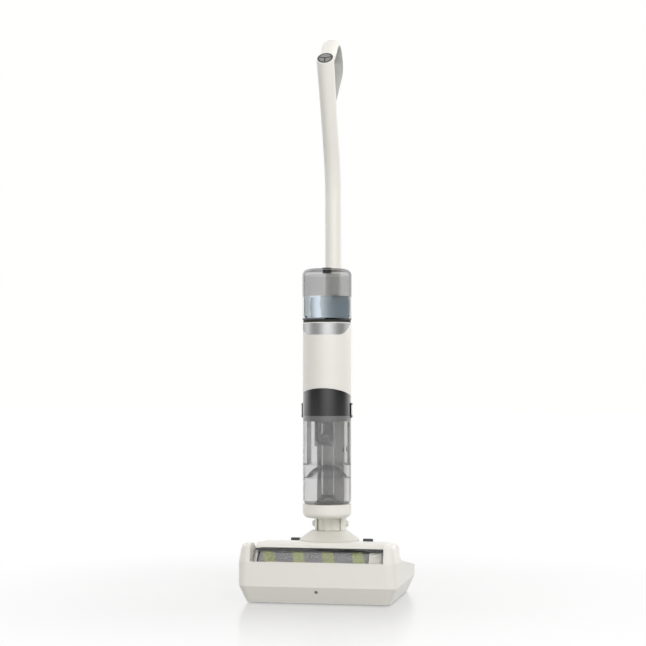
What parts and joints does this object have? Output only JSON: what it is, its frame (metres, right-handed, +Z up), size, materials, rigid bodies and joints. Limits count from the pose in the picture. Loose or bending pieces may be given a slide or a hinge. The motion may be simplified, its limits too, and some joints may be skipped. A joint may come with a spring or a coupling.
{
  "type": "wet dry floor scrubber",
  "caption": "Upright cordless floor washer with striped roller, clean and dirty water tanks, reclining neck and loop grip, standing in its charging dock.",
  "frame": {"origin": "middle of the dock's footprint, on the floor", "axes": "+Z up, -Y to the front where the roller is, +X to the right seen from the front"},
  "size_m": [0.303, 0.266, 1.0941],
  "materials": {
    "ivory_plastic": "fine moulded satin",
    "tray_plastic": "satin",
    "black_plastic": "gloss",
    "dark_plastic": "satin",
    "dark_rubber": "matte",
    "silver_panel": "metallic satin",
    "clear_plastic": "clear",
    "smoky_plastic": "smoky clear",
    "collar_plastic": "satin",
    "soft_grip": "matte soft touch",
    "roller_pile": "short pile",
    "core_plastic": "satin",
    "steel": "turned",
    "brass": "plated",
    "board_green": "satin",
    "filter_fabric": "pleated",
    "indicator_lens": "frosted"
  },
  "bodies": {
    "dock": {"dock_shell": "ivory_plastic", "dock_tray": "tray_plastic", "dock_base_plate": "tray_plastic", "dock_feet": "dark_rubber", "dock_contacts": "brass", "dock_indicator": "indicator_lens", "dock_inlet": "dark_plastic"},
    "floor_head": {"head_chassis": "dark_plastic", "head_cover": "ivory_plastic", "neck_dome": "ivory_plastic", "hinge_bracket": "ivory_plastic", "hinge_pins": "ivory_plastic", "spray_bar": "core_plastic", "scraper_blade": "dark_rubber", "roller_motor": "steel", "roller_end_holder": "ivory_plastic", "wheel_axles": "steel"},
    "roller": {"roller_core": "core_plastic", "roller_nap": "roller_pile"},
    "roller_cover": {"roller_window": "clear_plastic", "cover_frame": "ivory_plastic"},
    "release_left": {"release_button_left": "dark_plastic"},
    "release_right": {"release_button_right": "dark_plastic"},
    "left_wheel": {"wheel_left": "dark_rubber"},
    "right_wheel": {"wheel_right": "dark_rubber"},
    "neck": {"neck_knuckle": "ivory_plastic"},
    "main_body": {"base_collar": "ivory_plastic", "rear_spine": "ivory_plastic", "motor_housing_front": "ivory_plastic", "motor_housing_rear": "ivory_plastic", "display_panel": "silver_panel", "tank_seat": "dark_rubber", "suction_motor": "steel", "control_board": "board_green", "water_pump": "dark_plastic", "battery_pack": "core_plastic", "handle_tube": "ivory_plastic", "grip_body": "ivory_plastic", "grip_liner": "soft_grip", "button_bezel": "dark_plastic"},
    "fan": {"impeller": "core_plastic"},
    "clean_tank": {"clean_tank_shell": "clear_plastic", "clean_tank_gasket": "dark_rubber"},
    "plug": {"filler_plug": "dark_rubber"},
    "valve": {"outlet_valve": "dark_rubber"},
    "dirty_tank": {"dirty_tank_shell": "smoky_plastic", "tank_collar": "collar_plastic", "tank_lid": "black_plastic", "standpipe": "smoky_plastic", "filter_cup": "smoky_plastic", "separator_ring": "smoky_plastic", "strainer_dome": "smoky_plastic", "lid_filter": "filter_fabric"},
    "float": {"float_ball": "core_plastic"},
    "left_clip": {"lid_clip_left": "ivory_plastic"},
    "right_clip": {"lid_clip_right": "ivory_plastic"},
    "power_key": {"power_button": "dark_plastic"},
    "mode_key": {"mode_button": "dark_plastic"},
    "clean_key": {"clean_button": "dark_plastic"}
  },
  "joints": [
    {"name": "machine_lift", "type": "slide", "parent": "dock", "child": "floor_head", "axis": [0, 0, 1], "range_m": [0, 0.12]},
    {"name": "roller_spin", "type": "hinge", "parent": "floor_head", "child": "roller", "pos_m": [0, -0.08, 0.065], "axis": [1, 0, 0], "continuous": true},
    {"name": "roller_cover_lift", "type": "slide", "parent": "floor_head", "child": "roller_cover", "axis": [0, 0, 1], "range_m": [0, 0.06]},
    {"name": "release_left_press", "type": "slide", "parent": "floor_head", "child": "release_left", "axis": [0, 0, -1], "range_m": [0, 0.002], "stiffness_N_per_m": 400},
    {"name": "release_right_press", "type": "slide", "parent": "floor_head", "child": "release_right", "axis": [0, 0, -1], "range_m": [0, 0.002], "stiffness_N_per_m": 400},
    {"name": "left_wheel_roll", "type": "hinge", "parent": "floor_head", "child": "left_wheel", "pos_m": [-0.092, 0.07, 0.046], "axis": [1, 0, 0], "continuous": true},
    {"name": "right_wheel_roll", "type": "hinge", "parent": "floor_head", "child": "right_wheel", "pos_m": [0.092, 0.07, 0.046], "axis": [1, 0, 0], "continuous": true},
    {"name": "recline", "type": "hinge", "parent": "floor_head", "child": "neck", "pos_m": [0, 0.017, 0.141], "axis": [-1, 0, 0], "range_deg": [0, 65]},
    {"name": "steer_twist", "type": "hinge", "parent": "neck", "child": "main_body", "pos_m": [0, 0.017, 0.155], "axis": [0, 0, 1], "range_deg": [-40, 40]},
    {"name": "fan_spin", "type": "hinge", "parent": "main_body", "child": "fan", "pos_m": [0, -0.02, 0.43], "axis": [0, 0, 1], "continuous": true},
    {"name": "clean_tank_lift", "type": "slide", "parent": "main_body", "child": "clean_tank", "axis": [0, 0, 1], "range_m": [0, 0.12]},
    {"name": "plug_pull", "type": "slide", "parent": "clean_tank", "child": "plug", "axis": [0, 0, 1], "range_m": [0, 0.02]},
    {"name": "valve_open", "type": "slide", "parent": "clean_tank", "child": "valve", "axis": [0, 0, 1], "range_m": [0, 0.0025], "stiffness_N_per_m": 400},
    {"name": "dirty_tank_pull", "type": "slide", "parent": "main_body", "child": "dirty_tank", "axis": [0, -1, 0], "range_m": [0, 0.15]},
    {"name": "float_rise", "type": "slide", "parent": "dirty_tank", "child": "float", "axis": [0, 0, 1], "range_m": [0, 0.02]},
    {"name": "left_clip_open", "type": "hinge", "parent": "dirty_tank", "child": "left_clip", "pos_m": [-0.0476, -0.02, 0.35], "axis": [0, -1, 0], "range_deg": [0, 50]},
    {"name": "right_clip_open", "type": "hinge", "parent": "dirty_tank", "child": "right_clip", "pos_m": [0.0476, -0.02, 0.35], "axis": [0, 1, 0], "range_deg": [0, 50]},
    {"name": "power_press", "type": "slide", "parent": "main_body", "child": "power_key", "axis": [0, 0.7071, -0.7071], "range_m": [0, 0.001], "stiffness_N_per_m": 400},
    {"name": "mode_press", "type": "slide", "parent": "main_body", "child": "mode_key", "axis": [0, 0.7071, -0.7071], "range_m": [0, 0.001], "stiffness_N_per_m": 400},
    {"name": "clean_press", "type": "slide", "parent": "main_body", "child": "clean_key", "axis": [0, 0.7071, -0.7071], "range_m": [0, 0.001], "stiffness_N_per_m": 400}
  ]
}
